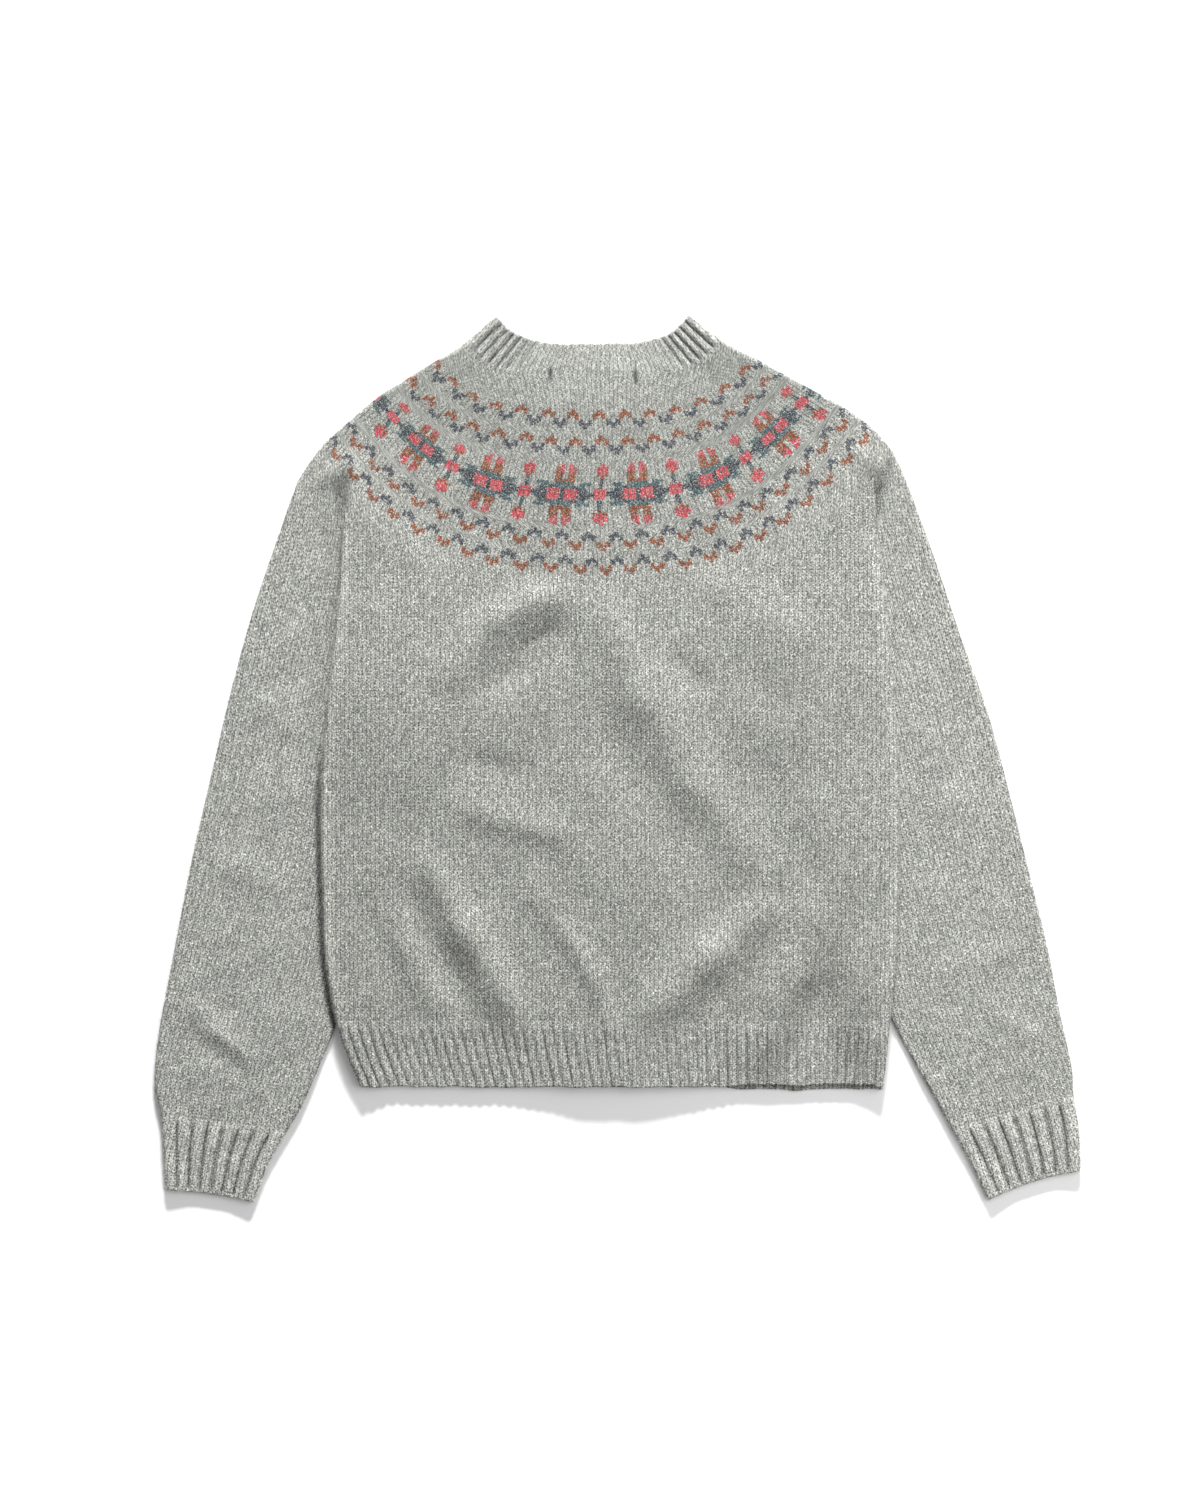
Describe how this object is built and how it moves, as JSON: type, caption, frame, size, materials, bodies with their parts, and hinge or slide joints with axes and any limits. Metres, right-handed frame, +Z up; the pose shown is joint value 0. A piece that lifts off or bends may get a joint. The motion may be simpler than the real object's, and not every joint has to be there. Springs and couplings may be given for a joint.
{
  "type": "fair isle cardigan",
  "caption": "Wool cardigan with a patterned round yoke and ribbed neck, cuffs and hem, laid flat face down with its sleeves folded down beside the body.",
  "frame": {"origin": "on the surface it lies on, under the middle of the garment's outline box", "axes": "+Z up from the surface through the cloth, +Y from the hem towards the neck, +X towards the wearer's right sleeve"},
  "size_m": [0.777, 0.7445, 0.0152],
  "materials": {
    "wool_body": "brushed heather wool, plain knit",
    "wool_sleeve": "brushed heather wool, plain knit",
    "wool_rib": "brushed heather wool, rib knit",
    "wool_yoke": "brushed wool, stranded pattern knit",
    "wool_neckband": "brushed heather wool, rib knit",
    "button_horn": "satin, dark horn look"
  },
  "bodies": {
    "root": {"back": "wool_body", "back_rib": "wool_rib", "front_left": "wool_body", "front_left_rib": "wool_rib", "front_right": "wool_body", "front_right_rib": "wool_rib", "yoke": "wool_yoke", "neckband": "wool_neckband", "sleeve_left": "wool_sleeve", "sleeve_right": "wool_sleeve", "cuff_left": "wool_rib", "cuff_right": "wool_rib", "button_band": "wool_rib", "buttonhole_band": "wool_rib", "button_1": "button_horn", "button_2": "button_horn", "button_3": "button_horn", "button_4": "button_horn", "button_5": "button_horn", "button_6": "button_horn", "button_7": "button_horn", "button_8": "button_horn"}
  },
  "joints": []
}
